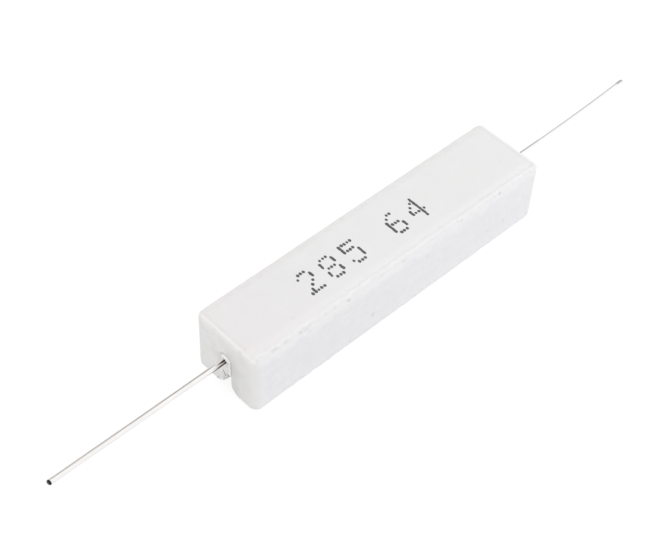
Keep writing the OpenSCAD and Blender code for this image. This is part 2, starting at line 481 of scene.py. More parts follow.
class CaseFinish(Finish):
    """The finish of the clay, with the distances and faces that its steps share."""

    def __init__(self):
        super().__init__("white_fired_ceramic")
        self.look = settings("case")
        self.clay = Vector(self.look.clay)
        self.from_front = self.y + HALF_W
        self.from_back = HALF_W - self.y
        self.from_end = HALF_L - abs(self.x)
        self.from_top = CASE_H - self.z
        self.on_top = self.from_top.ramp(0.3, 0.15)
        self.on_front = self.from_front.ramp(0.3, 0.12)
        self.on_end = self.from_end.ramp(0.3, 0.12)
        self.ripple = self.cloud(1.3, 3.0) - 0.5
        # Uneven distances from the long front edge, in over the top and down the front
        self.wander = self.cloud(0.8, 4.0, 0.7, where=self.stretched(1.0, 0.2, 0.2)) - 0.5
        self.inset = self.from_front + self.x * 0.01 + self.ripple * 0.4 + self.wander * 0.9
        self.ragged = self.cloud(0.55, 4.0, 0.65, where=self.stretched(1.0, 0.3, 0.7)) - 0.5
        self.down = self.from_top + self.ragged * 4.2 + self.ripple * 0.9


def fired(f):
    """The clay's own cloudy colour, with smudges on the ends."""
    clay = f.clay
    mottle = f.cloud(0.22, 4.0, 0.6).ramp(0.3, 0.7)
    colour = f.blend(mottle, clay * 0.987, clay * 1.01)
    patchy = f.cloud(1.0, 3.0, 0.65).ramp(0.36, 0.64)
    colour = f.blend(patchy * (f.on_front * 0.75 + 0.25), colour, clay * 0.972)
    smudges = f.cloud(0.6, 3.0, 0.6)
    dark, light = smudges.ramp(0.5, 0.62), smudges.ramp(0.48, 0.38)
    colour = f.blend(dark * f.on_end, colour, tinted(clay, 0.955, 0.957, 0.94))
    colour = f.blend(light * f.on_end, colour, tinted(clay, 1.005, 1.005, 1.03))
    warm = f.cloud(0.16, 2.0, where=f.stretched(1.0, 1.4, 1.8)).ramp(0.42, 0.68)
    return f.blend(warm * 0.5, colour, tinted(clay, 1.004, 0.994, 0.982))


def wear_and_highlight(f, colour):
    """Pale bands beside the long front edge, the other edges of the top and the foot, partly wear and
    partly painted highlight.
    """
    uneven = f.cloud(0.7, 3.0, 0.6).ramp(0.36, 0.62)
    # Painted highlight, partly wear: a bright line where the rounded long front edge turns to the light,
    # a fainter one further in
    ridge = f.inset.bump_at(0.62, 0.3) * (uneven * 0.55 + 0.3)
    crest = f.inset.bump_at(1.5, 0.7) * (uneven * 0.16 + 0.12)
    pale = (ridge + crest + f.inset.ramp(2.8, 1.2) * 0.15) * f.on_top
    # Down the front, a pale band under the edge that is partly wear and partly painted highlight
    rubbed = f.down.ramp(1.45, 0.95) * (f.from_top.ramp(0.1, 0.6) * 0.16 + 0.26)
    rubbed = rubbed + f.from_top.ramp(2.6, 0.2) * 0.06
    foot = (f.z + f.ragged * 2.0).ramp(3.0, 1.0) * 0.25
    pale = pale.most(rubbed.most(foot) * f.on_front)
    # On the top beside the rounded end edges, a pale band of wear and painted highlight
    end_edge = (f.from_end + f.ripple * 0.12).bump_at(0.42, 0.27)
    pale = pale.most(end_edge * f.on_top * 0.8)
    # Painted highlight on each end beside its rounded corner with the front
    corner = (f.from_front + f.ripple * 0.3).ramp(0.8, 0.2)
    pale = pale.most(corner * f.on_end * 0.45)
    return f.blend(pale, colour, f.look.wear_and_highlight)


def tints_and_painted_light(f, colour):
    """Faint tints: rosy at the near end of the top; painted shade on the long front edge; painted light,
    warm on the near end and cool in front.
    """
    rosy = f.x.ramp(-6.0, -18.0) * f.inset.ramp(0.6, 1.0) * f.on_top
    rosy = rosy * (f.cloud(0.4, 2.0).ramp(0.38, 0.6) * 0.7 + 0.4)
    # Painted shade along the rounded long front edge
    arris_shade = f.from_top.ramp(0.7, 0.15) * f.from_front.ramp(0.5, 0.1)
    # Painted light: a warm tint on the near end and a cool tint on the front, for the colour of the light
    # on each
    near_end_warm_light = f.on_end * f.x.ramp(0.1, -0.1)
    front = f.on_front * f.down.ramp(0.1, 1.2)
    colour = f.cast(colour, rosy, (1.0, 0.979, 0.985))
    colour = f.cast(colour, arris_shade, (0.975, 0.975, 0.97))
    colour = f.cast(colour, near_end_warm_light, (1.0, 0.993, 0.984))
    return f.cast(colour, front, (0.997, 0.997, 1.01))


def stains(f, colour):
    """Handling stains: a blush beside the front edge, tan inside the other edges, and painted shade in
    the shallow groove by the front edge.
    """
    blush = f.cloud(0.35, 2.0).ramp(0.52, 0.68) * f.inset.bump_at(0.9, 0.9) * f.on_top
    colour = f.blend(blush * 0.24, colour, tinted(f.clay, 1.0, 0.93, 0.93))
    patches = f.cloud(0.6, 3.0, 0.6).ramp(0.25, 0.65)
    inside = (f.from_back + f.ripple * 0.9 + f.wander * 0.8).bump_at(0.68, 0.55)
    inside = inside.most((f.from_end + f.ripple * 0.5).bump_at(0.8, 0.34))
    colour = f.blend(inside * f.on_top * patches * 0.16, colour, f.look.stain)
    crumbs = f.cells(1.3).ramp(0.2, 0.06) * f.from_back.bump_at(0.6, 0.45) * f.on_top
    colour = f.blend(crumbs * 0.25, colour, f.look.grime_and_shade)
    # Painted shade in the shallow groove in from the long front edge, towards the near end
    dashes = f.cloud(1.1, 3.0, 0.7).ramp(0.48, 0.62) * 0.75 + 0.25
    groove = f.inset.bump_at(1.03, 0.17) * dashes * f.x.ramp(-14.0, -6.0) * f.on_top
    colour = f.blend(groove * 0.2, colour, f.look.grime_and_shade)
    cream = f.on_end * f.from_front.bump_at(1.0, 0.9)
    cream = cream.most(f.on_front * f.from_end.bump_at(0.7, 0.7) * 0.7)
    return f.blend(cream * 0.6, colour, tinted(f.clay, 1.004, 0.993, 0.968))


def slot_shade(f, colour):
    """Painted shade beside each slot, most of it towards the front, where the rounded edge turns from the
    light, and a painted dark line along the slot's edge.
    """
    from_slot = f.off_axis(f.y, (f.z - LEAD_AXIS).most(0.0))
    shade = from_slot.ramp(2.9, 1.5) * 0.56 + from_slot.ramp(5.5, 2.5) * 0.26
    shade = shade * f.y.ramp(0.3, -0.8) + from_slot.bump_at(0.97, 0.2) * 0.3
    return f.blend(shade * f.on_end * 0.36, colour, f.look.grime_and_shade)


def marks(f, colour):
    """Specks at the foot, spots on the top and dirt in the pits."""
    foot = f.cells(1.7).ramp(0.3, 0.12) * (f.z + f.ripple).ramp(0.9, 0.3) * f.on_front
    colour = f.blend(foot * 0.22, colour, f.look.grime_and_shade)
    for x, y, radius, tint, strength in TOP_SPOTS:
        mark = f.spot((x, y, CASE_H), radius + f.ripple * 0.3)
        colour = f.blend(mark * strength, colour, getattr(f.look, tint))
    return f.blend(f.pits(), colour, f.look.darkening)


def ceramic_finish():
    """White fired clay: matt grain, pale edges of wear and painted highlight, faint handling stains,
    painted shade and light, and a few marks.
    """
    f = CaseFinish()
    colour = fired(f)
    for step in (wear_and_highlight, tints_and_painted_light, stains, slot_shade, marks):
        colour = step(f, colour)
    grain = f.cloud(3.2, 3.0, 0.6)
    pinholes = f.cells(1.5).ramp(0.16, 0.05)
    height = grain * 0.014 + f.cloud(0.8, 2.0) * 0.03 - pinholes * 0.014
    return f.surface(colour, 0.56 + f.cloud(0.5, 3.0) * 0.2, height)


def cement_finish():
    """Dried cement: sandy, slightly grey, with dark grains and shadowed pores, and painted shade and
    painted highlight round the leads in the slots.
    """
    look = settings("cement")
    f = Finish("dried_cement")
    cement = Vector(look.cement)
    sand = f.cloud(1.6, 5.0, 0.7).ramp(0.32, 0.7)
    colour = f.blend(sand, cement * 0.93, cement * 1.05)
    tint = f.node("SeparateColor", values={0: f.cells(3.4, "Color")}, output="Red")
    grains = f.cells(3.4).ramp(0.5, 0.2) * tint.ramp(0.7, 0.95)
    colour = f.blend(grains * 0.3, colour, look.grit_and_shade)
    from_lead = f.off_axis(f.y, f.z - LEAD_AXIS - 0.2)
    at_slot = abs(f.x).ramp(HALF_L - 0.4, HALF_L - 0.2)
    # Painted shade in an arc over each lead, where the cement meets the top of the slot
    arc_shade = from_lead.bump_at(0.8, 0.25) * f.z.ramp(LEAD_AXIS, LEAD_AXIS + 0.5)
    colour = f.blend(arc_shade * at_slot * 0.3, colour, look.grit_and_shade)
    # Painted highlight: near white round the top of each lead and on the flank that faces the light
    white = from_lead.ramp(0.75, 0.5).most(f.y.ramp(-0.4, -0.65))
    colour = f.blend(white * at_slot, colour, (0.985, 0.985, 0.98))
    # Painted shade: the pores and the bottom of the hanging edge are darkened
    colour = f.blend(f.pits(), colour, (0.12, 0.11, 0.1))
    height = f.cloud(4.0, 4.0, 0.65) * 0.05 + f.cells(2.4) * 0.02
    return f.surface(colour, 0.8 + sand * 0.12, height)


def tinned_finish():
    """Bright tinned wire with drawing lines along it, and dark marks at the cement that are partly flux
    stain and partly painted dark reflection.
    """
    look = settings("leads")
    f = Finish("tinned_wire")
    streaks = f.cloud(1.0, 4.0, 0.6, where=f.stretched(0.35, 7.0, 7.0))
    blotches = f.cloud(0.8, 3.0, where=f.stretched(0.8, 2.0, 2.0))
    tin = Vector(look.tin)
    colour = f.blend(streaks.ramp(0.3, 0.7), tin * 0.93, tin)
    colour = f.blend(blotches.ramp(0.45, 0.7) * 0.4, colour, tinted(tin, 0.94, 0.9, 0.88))
    # Painted reflection: the far lead is kept brighter, without the darker streaks, for the brighter
    # surround that it mirrors
    colour = f.blend(f.x.ramp(-0.1, 0.1), colour, f.blend(streaks, (0.98, 0.98, 0.98), (1.0, 1.0, 1.0)))

    out = abs(f.x) - HALF_L
    # Position across the lead, from one flank at -1 to the other at 1
    across = (f.y * ACROSS_Y + (f.z - LEAD_AXIS) * ACROSS_Z) * (1.0 / LEAD_R)
    rag = (f.cloud(2.5, 3.0, where=f.stretched(0.6, 2.0, 2.0)) - 0.5) * 0.3
    # Dark marks at the base, partly flux stain and partly painted dark reflection: a tongue on the side
    # in view, a line along the lower flank and a brownish streak beside it
    tongue = (0.5 - out * 0.27 + rag - abs(across - 0.1)).ramp(0.0, 0.14)
    flank = (across + 0.36 + out * 0.18 - rag).ramp(0.0, -0.14)
    streak = abs(across + 0.37).ramp(0.16, 0.04) * (out + rag).ramp(2.2, 0.6)
    colour = f.blend(streak * 0.6, colour, look.scorch_and_reflection)
    dark_at_base = tongue.most(flank * out.ramp(2.9, 2.1))
    colour = f.blend(dark_at_base * 0.96, colour, look.residue_and_reflection)
    # Painted reflection: a grey line along the upper side of the far lead, near its tip and over its
    # first millimetres past the case
    upper_reflection = f.x.ramp(RIGHT_TIP - 1.3, RIGHT_TIP - 0.9) * across.ramp(0.5, 0.8) * 0.8
    root = f.x.ramp(HALF_L + 6.8, HALF_L + 5.6) * f.x.ramp(-0.1, 0.1)
    upper_reflection = upper_reflection.most(root * across.ramp(0.4, 0.8))
    colour = f.blend(upper_reflection * 0.6, colour, (0.32, 0.32, 0.31))
    roughness = 0.15 + streaks * 0.14 + dark_at_base * 0.3
    return f.surface(colour, roughness, streaks * 0.006, Metallic=1.0)


def cut_finish():
    """Sheared wire end: dark torn steel with a browner lower rim."""
    look = settings("leads")
    f = Finish("cut_steel")
    torn = f.cloud(9.0, 3.0, 0.7, where=f.stretched(1.0, 1.0, 0.35))
    lower = f.y * 0.6 - (f.z - LEAD_AXIS) * 0.8 + (torn - 0.5) * 0.15
    colour = f.blend(lower.ramp(0.0, 0.2), look.cut_steel, (0.24, 0.17, 0.145))
    return f.surface(colour, 0.6 + torn * 0.3, torn * 0.05, Metallic=0.3)


def ink_finish():
    """Thin matt ink that lets a little of the clay through."""
    look = settings("print")
    f = Finish("jet_ink")
    ink = Vector(look.ink)
    thin = f.cloud(3.0, 3.0, 0.65).ramp(0.45, 0.8)
    colour = f.blend(thin * 0.5, ink, (ink.x + 0.16, ink.y + 0.16, ink.z + 0.165))
    return f.surface(colour, 0.62 + thin * 0.2, f.cloud(5.0, 2.0) * 0.008)


class RESISTOR_OT_ceramic_case(bpy.types.Operator):
    """Shapes the moulded case with uneven faces, rubbed edges, chips and pits"""

    bl_idname = "resistor.ceramic_case"
    bl_label = "Ceramic Case"

    def execute(self, context):
        look = settings("case")
        bm = node_copy("ceramic_case")
        layer = bm.verts.layers.float.new("darkening")
        self.cut(bm, look.mesh_step / MM)
        self.press_chips(bm, layer, look.chips)
        self.press_marks(bm, layer)
        self.wear(bm, look)
        finished("moulded_case", bm, [ceramic_finish()], "ceramic_case")
        return {"FINISHED"}

    def cut(self, bm, step):
        """Cuts the outside into a grid, which is finer beside the edges."""
        hidden_low = CEMENT_FACE + 0.12
        edge_zone = 1.8

        def outside(c):
            within = abs(c.x) < INSIDE_L + 0.01 and abs(c.y) < INSIDE_W + 0.01
            return not (within and hidden_low < c.z < ROOF_UNDERSIDE + 0.01)

        cut_across(bm, 2, [hidden_low], lambda c: True)
        cut_across(bm, 0, stations(-HALF_L, HALF_L, step)[1:-1], outside)
        for axis, low, high in ((1, -HALF_W, HALF_W), (2, 0.0, CASE_H)):
            fine = stations(low, low + edge_zone, step)[1:]
            fine += stations(high - edge_zone, high, step)[:-1]
            coarse = stations(low + edge_zone, high - edge_zone, 2.0 * step)[1:-1]
            cut_across(bm, axis, fine + coarse, outside)

    def press_chips(self, bm, layer, count):
        """Scatters small chips along the outer edges, most of them in front."""
        dice = random.Random(41)
        in_edge = 0.16
        for _ in range(count):
            side = dice.choice((-1, -1, -1, 1, 0))
            low_edge = dice.random() < 0.45
            radius = dice.uniform(0.13, 0.32)
            z = 0.12 if low_edge else CASE_H - 0.2
            if side:
                centre = Vector((dice.uniform(-23.0, 23.0), side * (HALF_W - in_edge), z))
                run = Vector((dice.uniform(0.0, 0.5), 0.0, 0.0))
            else:
                end = dice.choice((-1, 1))
                centre = Vector((end * (HALF_L - in_edge), dice.uniform(-4.4, 4.0), z))
                run = Vector((0.0, dice.uniform(0.0, 0.4), 0.0))
            middle_of_case = Vector((centre.x if side else 0.0, 0.0, CASE_H / 2))
            inward = (middle_of_case - centre).normalized()
            darkening = dice.choice((0.0, 0.0, 0.04, 0.1))
            press_pit(bm, layer, centre, centre + run, inward, radius, radius * 0.26, darkening)

    def press_marks(self, bm, layer):
        """Presses the pits in the long front edge and the specks on the front side."""
        edge_r = 0.5
        inward = Vector((0.0, 1.0, -1.0)).normalized()
        for x, inset, length, radius, darkening in EDGE_PITS:
            drop = edge_r - math.sqrt(max(0.0, edge_r**2 - (edge_r - inset) ** 2))
            centre = Vector((x - length / 2, inset - HALF_W, CASE_H - drop))
            run = Vector((length, 0.0, 0.0))
            press_pit(bm, layer, centre, centre + run, inward, radius, radius * 0.4, darkening)
        for x, z, radius, darkening in SIDE_SPECKS:
            centre = Vector((x, -HALF_W, z))
            press_pit(bm, layer, centre, centre, Vector((0, 1, 0)), radius, 0.07, darkening)

    def wear(self, bm, look):
        """Moves the outside inward, in slow waves on the faces and more at the edges."""
        bm.normal_update()
        moves = []
        for v in bm.verts:
            p = v.co
            if abs(p.x) < INSIDE_L + 0.05 and abs(p.y) < INSIDE_W - 0.02 and p.z > 0.05:
                continue
            slow = noise.fractal(p * 0.16, 1.0, 2.0, 3)
            quick = noise.fractal(p * 0.9 + Vector((7, 3, 1)), 0.8, 2.0, 3)
            to_edge = middle(HALF_L - abs(p.x), HALF_W - abs(p.y), min(p.z, CASE_H - p.z))
            edge = max(0.0, 1.0 - to_edge / 0.9) ** 2
            push = look.face_wave / MM * 0.5 * (1.0 + slow)
            push += look.edge_wear / MM * edge * (0.45 + 0.9 * quick)
            beside = max(0.0, math.hypot(p.y, max(0.0, p.z - LEAD_AXIS)) - SLOT_R)
            if abs(p.x) > INSIDE_L and beside < SLOT_EDGE_R:
                # Inside the slot and on its rounded edge the clay is left as moulded
                push *= beside / SLOT_EDGE_R
            move = v.normal * max(0.0, push)
            if abs(p.x) > HALF_L - 0.1:
                # The end wall falls away a little towards its slot
                move.x += math.copysign(look.slot_fall / MM * math.exp(-beside / 0.7), p.x)
            moves.append((v, move))
        for v, move in moves:
            v.co -= move


class RESISTOR_OT_cement(bpy.types.Operator):
    """Gives the cement its rough open face, its collars round the leads and its pores"""

    bl_idname = "resistor.cement"
    bl_label = "Cement"

    def execute(self, context):
        look = settings("cement")
        bm = node_copy("cement_fill")
        layer = bm.verts.layers.float.new("darkening")
        self.cut(bm)
        self.press_pores(bm, layer, look.pores)
        self.roughen(bm, layer, look)
        finished("cement", bm, [cement_finish()], "cement_fill", 55.0)
        return {"FINISHED"}

    def cut(self, bm):
        """Cuts a grid into the open face and a finer one into the faces in the slots."""

        def under(c):
            return c.z < CEMENT_FACE + 0.05 and abs(c.x) < INSIDE_L

        def slot_end(c):
            return abs(c.x) > INSIDE_L + 0.02

        def near_lead(place):
            from_axis = math.hypot(place.y, place.z - LEAD_AXIS)
            return abs(place.x) > CEMENT_END - 0.02 and from_axis < LEAD_R + 0.5

        cut_across(bm, 0, stations(-INSIDE_L, INSIDE_L, 0.3)[1:-1], under)
        cut_across(bm, 1, stations(-INSIDE_W, INSIDE_W, 0.3)[1:-1], under)
        cut_across(bm, 1, stations(-1.2, 1.2, 0.12), slot_end)
        cut_across(bm, 2, stations(0.3, 6.3, 0.14), slot_end)
        in_wall = stations(INSIDE_L, HALF_L, 0.3)[1:-1]
        cut_across(bm, 0, [side * x for x in in_wall for side in (-1, 1)], slot_end)
        refine(bm, lambda: [v for v in bm.verts if near_lead(v.co)], 0.07)

    def press_pores(self, bm, layer, count):
        """Scatters air holes in the open face and presses the pores seen in the slots."""
        dice = random.Random(12)
        for _ in range(count):
            centre = Vector((dice.uniform(-22.0, 22.0), dice.uniform(-3.6, 3.6), CEMENT_FACE))
            radius = dice.uniform(0.1, 0.32) ** 1.2
            darkening = dice.uniform(0.2, 0.8)
            press_pit(bm, layer, centre, centre, Vector((0, 0, 1)), radius, radius * 0.9, darkening)
        # A slanting pore in the hanging edge at the left end
        upper, lower = Vector((-CEMENT_END, 0.4, 2.75)), Vector((-CEMENT_END, 0.06, 2.1))
        press_pit(bm, layer, upper, lower, Vector((1, 0, 0)), 0.12, 0.15, 0.85)
        for end, y, z, radius, depth, darkening in SLOT_PORES:
            centre = Vector((end * CEMENT_END, y, z))
            press_pit(bm, layer, centre, centre, Vector((-end, 0, 0)), radius, depth, darkening)

    def roughen(self, bm, layer, look):
        """Gives the open face its lumps and shapes the faces in the slots."""
        bm.normal_update()
        moves = []
        for v in bm.verts:
            p = v.co
            lump = noise.fractal(p * 0.55, 0.7, 2.0, 4)
            crumb = noise.fractal(p * 3.1 + Vector((4, 9, 2)), 0.7, 2.0, 3)
            grains = 0.03 * crumb + 0.03 * lump
            if p.z < CEMENT_FACE + 0.4 and abs(p.x) < INSIDE_L - 0.01 and abs(p.y) < INSIDE_W - 0.01:
                to_wall = min(INSIDE_L - abs(p.x), INSIDE_W - abs(p.y))
                creep = 0.3 * math.exp(-to_wall / 0.35)
                sag = look.lumps / MM * lump + 0.04 * crumb + creep
                moves.append((v, Vector((0, 0, -min(sag, p.z - 0.15)))))
            elif abs(p.x) > CEMENT_END - 0.02:
                # Painted shade along the bottom of the hanging edge, kept with the darkening of the pores
                v[layer] = max(v[layer], self.dust_and_shade(p))
                moves.append((v, self.in_slot(p, grains, look)))
            elif abs(p.x) > INSIDE_L + 0.05 and math.hypot(p.y, p.z - LEAD_AXIS) > 0.5:
                moves.append((v, v.normal * min(0.0, 0.04 * crumb + 0.03 * lump)))
        for v, move in moves:
            v.co += move

    def dust_and_shade(self, p):
        """Painted shade along the bottom of the hanging edge at the left end, where it turns down from
        the light.
        """
        if p.x > 0.0 or not -0.2 < p.y < 0.6:
            return 0.0
        low = max(0.0, min(1.0, (2.1 - p.z) / 0.5))
        return 0.22 * low * min(1.0, (0.9 - p.y) / 0.5)

    def in_slot(self, p, grains, look):
        """How a place on the cement's face in a slot moves."""
        from_axis = math.hypot(p.y, p.z - LEAD_AXIS)
        collar = look.collar / MM * math.exp(-max(0.0, from_axis - LEAD_R) / 0.2)
        # It climbs the upper side of the lead most
        collar *= max(0.3, min(1.0, 0.65 + 0.5 * (p.z - LEAD_AXIS) / LEAD_R))
        if from_axis > LEAD_R + 0.06:
            collar += grains
        # The flanks round back towards the slot's rounded edge
        flank = max(0.0, (abs(p.y) - 0.6) / (slot_half(SLOT_SINK) - 0.6))
        out = collar - look.flank_fall / MM * min(1.0, flank) ** 2
        side = 0.0
        if p.z > 2.0:
            limit = slot_half(HALF_L - abs(p.x) - out) + 0.02
            side = max(-limit, min(limit, p.y)) - p.y
        return Vector((math.copysign(out, p.x), side, 0))


class RESISTOR_OT_leads(bpy.types.Operator):
    """Draws the two tinned leads with their hidden heads and their sheared tips"""

    bl_idname = "resistor.leads"
    bl_label = "Leads"

    def execute(self, context):
        look = settings("leads")
        finishes = [tinned_finish(), cut_finish()]
        for side, end in ((-1, "left"), (1, "right")):
            inner, tip = sorted(abs((corner / MM).x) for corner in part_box("lead_" + end))
            bm = self.turned(look.sides, inner, tip)
            self.cut_off(bm, look, side, tip)
            self.bend(bm, side, tip)
            bmesh.ops.scale(bm, vec=(side, 1, 1), verts=bm.verts)
            bmesh.ops.translate(bm, vec=(0, 0, LEAD_AXIS), verts=bm.verts)
            bmesh.ops.recalc_face_normals(bm, faces=bm.faces)
            finished("tinned_lead_" + end, bm, finishes, "lead_" + end, 38.0)
        return {"FINISHED"}

    def turned(self, sides, inner, tip):
        """A lead turned round the X axis, with its head and its swelling inside the cement."""
        head_r, head_t, upset = 0.85, 0.4, 0.1
        outline = [
            (inner, 0.0), (inner, head_r), (inner + head_t, head_r), (inner + head_t, LEAD_R + upset),
            (CEMENT_END, LEAD_R), (tip - 0.1, LEAD_R), (tip - 0.03, LEAD_R - 0.03),
            (tip, LEAD_R - 0.09), (tip, 0.0),
        ]
        bm = bmesh.new()
        verts = [bm.verts.new((x, 0.0, r)) for x, r in outline]
        edges = [bm.edges.new(pair) for pair in zip(verts, verts[1:])]
        bmesh.ops.spin(
            bm, geom=verts + edges, cent=(0, 0, 0), axis=(1, 0, 0), angle=math.tau,
            steps=sides, use_merge=True,
        )
        bmesh.ops.remove_doubles(bm, verts=bm.verts, dist=0.0005)
        bmesh.ops.recalc_face_normals(bm, faces=bm.faces)
        return bm

    def cut_off(self, bm, look, side, tip):
        """Leaves the wire slightly out of round, and its tip cut at a slant."""
        shear, waver = look.shear / MM, look.waver / MM
        cut_across(bm, 0, stations(HALF_L, tip - 0.15 - shear, 0.45), lambda c: c.x > HALF_L - 0.2)
        for face in bm.faces:
            centre = face.calc_center_median()
            if centre.x > tip - 0.02 and math.hypot(centre.y, centre.z) < LEAD_R:
                face.material_index = 1
        for v in bm.verts:
            if v.co.x > HALF_L:
                # The unevenness fades out at the cement
                fade = min(1.0, (v.co.x - HALF_L) / 2.0)
                seed = Vector((v.co.x * 0.35, v.co.y * 2.0, v.co.z * 2.0 + 5.0 * side))
                squeeze = 1.0 - waver / LEAD_R * fade * (1.0 + noise.noise(seed))
                v.co.y *= squeeze
                v.co.z *= squeeze
            if v.co.x > tip - 0.11:
                # The cutter leaves a slightly torn face, which looks up at the left end
                slant = -side * 0.5 * (0.75 * v.co.z - 0.66 * v.co.y) / LEAD_R
                v.co.x -= shear * slant + 0.03 * abs(noise.noise(v.co * 5.0))

    def bend(self, bm, side, tip):
        """Handling leaves each lead with a faint bend beyond the case."""
        for v in bm.verts:
            share = max(0.0, (v.co.x - HALF_L) / (tip - HALF_L))
            bend = 0.04 * share**3 if side < 0 else 0.58 * share**2 - 0.3 * share
            v.co.y += ACROSS_Y * bend
            v.co.z += ACROSS_Z * bend


DIGIT_ROWS = {
    "0": "01110 10001 10001 10001 10001 10001 01110",
    "1": "00100 01100 00100 00100 00100 00100 01110",
    "2": "01110 10001 00001 00010 00100 01000 11111",
    "3": "01110 10001 00001 00110 00001 10001 01110",
    "4": "00010 00110 01010 10010 11111 00010 00010",
    "5": "11111 10000 11110 00001 00001 10001 01110",
    "6": "00110 01000 10000 11110 10001 10001 01110",
    "7": "11111 00001 00010 00010 00100 00100 00100",
    "8": "01110 10001 10001 01110 10001 10001 01110",
    "9": "01110 10001 10001 01111 00001 00010 01100",
}


class RESISTOR_OT_printed_digits(bpy.types.Operator):
    """Prints plain digits on the top, drop by drop as an ink jet does"""

    bl_idname = "resistor.printed_digits"
    bl_label = "Printed Digits"

    def execute(self, context):
        look = settings("print")
        case = bpy.data.objects.get("moulded_case")
        if case is None:
            raise RuntimeError("the digits need the case under them: make the case first")
        top = BVHTree.FromObject(case, bpy.context.evaluated_depsgraph_get())
        bm = bmesh.new()
        dice = random.Random(5)
        for index, digit in enumerate(look.digits):
            if digit == " ":
                continue
            for x, y in self.drops(look, digit):
                x += look.start[0] + index * look.pitch + dice.gauss(0.0, 0.012 * MM)
                y += look.start[1] + dice.gauss(0.0, 0.012 * MM)
                hit = top.ray_cast(Vector((x, y, 1.0)), Vector((0, 0, -1)))
                if hit[0] is None:
                    raise RuntimeError("a drop of ink misses the top")
                self.drop(bm, hit[0] / MM, look.drop / MM * dice.uniform(0.86, 1.1), look.stretch, dice)
        finished("printed_digits", bm, [ink_finish()], None, 60.0)
        return {"FINISHED"}

    def drops(self, look, digit):
        """Places of a digit's drops. Drops in line up a stroke also get one between them."""
        rows = DIGIT_ROWS[digit].split()[::-1]
        across, up = look.width / 4, look.height / 6
        filled = {(c, r) for r in range(7) for c in range(5) if rows[r][c] == "1"}
        for column, row in sorted(filled):
            yield column * across, row * up
            if (column, row + 1) in filled:
                yield column * across, (row + 0.5) * up

    def drop(self, bm, place, diameter, stretch, dice):
        made = bmesh.ops.create_circle(
            bm, cap_ends=True, cap_tris=True, radius=diameter / 2, segments=12
        )
        verts = made["verts"]
        phase = dice.uniform(0.0, 9.0)
        for v in verts:
            rag = 1.0 + 0.2 * noise.noise(Vector((v.co.x * 5.0, v.co.y * 5.0, phase)))
            rise = 0.012 if v.co.length < diameter * 0.1 else 0.004
            v.co = Vector((v.co.x * rag, v.co.y * rag * stretch, rise)) + place
        faces = list({face for v in verts for face in v.link_faces})
        skirt = bmesh.ops.extrude_face_region(bm, geom=faces, use_keep_orig=True)
        lower = [g for g in skirt["geom"] if isinstance(g, bmesh.types.BMVert)]
        bmesh.ops.translate(bm, vec=(0, 0, -0.04), verts=lower)
        bmesh.ops.recalc_face_normals(bm, faces=list({f for v in verts + lower for f in v.link_faces}))


class RESISTOR_OT_inner_parts(bpy.types.Operator):
    """Finishes the wound rod and its caps, which stay as packed inside the cement"""

    bl_idname = "resistor.inner_parts"
    bl_label = "Wound Rod"

    def execute(self, context):
        f = Finish("fired_rod")
        grain = f.cloud(2.0, 4.0, 0.6)
        rod = f.surface(
            f.blend(grain.ramp(0.3, 0.7), (0.72, 0.68, 0.6), (0.8, 0.77, 0.7)),
            0.6 + grain * 0.2, grain * 0.02,
        )
        f = Finish("resistance_alloy")
        oxide = f.cloud(1.4, 3.0)
        wire = f.surface(
            f.blend(oxide.ramp(0.35, 0.7), (0.3, 0.28, 0.26), (0.46, 0.44, 0.42)),
            0.35 + oxide * 0.25, oxide * 0.01, Metallic=1.0,
        )
        f = Finish("drawn_cap_steel")
        lines = f.cloud(1.0, 3.0, where=f.stretched(0.4, 5.0, 5.0))
        cap = f.surface(
            f.blend(lines.ramp(0.3, 0.7), (0.5, 0.5, 0.49), (0.66, 0.66, 0.65)),
            0.3 + lines * 0.2, lines * 0.008, Metallic=1.0,
        )
        for node, finish in (
            ("core_rod", rod), ("resistance_wire", wire), ("end_cap_left", cap), ("end_cap_right", cap),
        ):
            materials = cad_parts[node].data.materials
            materials.clear()
            materials.append(finish)
        return {"FINISHED"}


